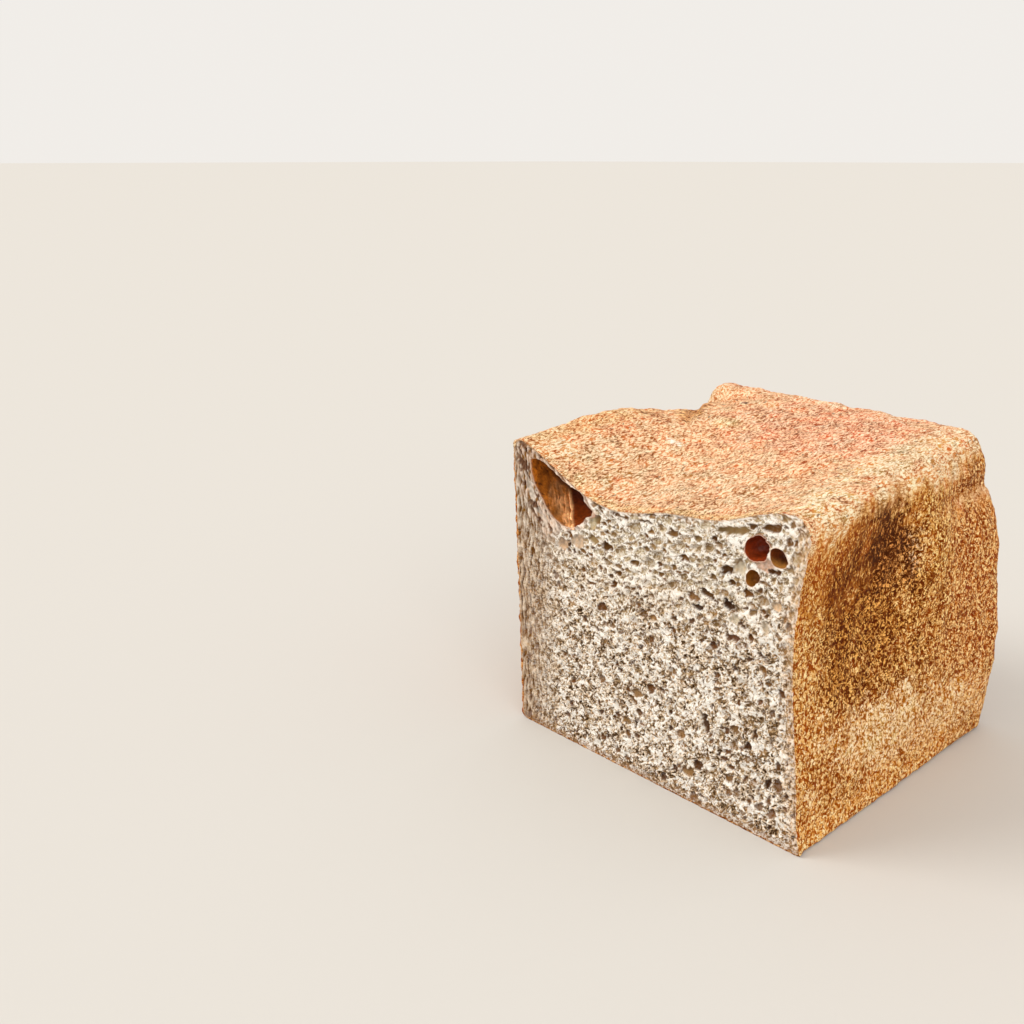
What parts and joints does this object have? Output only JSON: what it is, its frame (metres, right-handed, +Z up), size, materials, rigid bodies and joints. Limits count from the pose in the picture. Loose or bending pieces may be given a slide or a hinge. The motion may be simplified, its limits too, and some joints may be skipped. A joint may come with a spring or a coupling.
{
  "type": "half wholemeal loaf",
  "caption": "Half of a tin-baked wholemeal loaf, cut across, standing on its base with the open crumb and a hollow under the top crust showing.",
  "frame": {"origin": "under the middle of the part's box, on the surface that it stands on", "axes": "+Z up, -Y out of the flat cut face, +X to the right as the cut is looked at"},
  "size_m": [0.124, 0.119, 0.108],
  "materials": {
    "crust": "baked crust, matt and finely pitted, orange-tan on top, browner and mottled on the sides",
    "crumb": "open grey-beige wholemeal crumb, matt"
  },
  "bodies": {
    "root": {"half_loaf": "crust"}
  },
  "joints": []
}
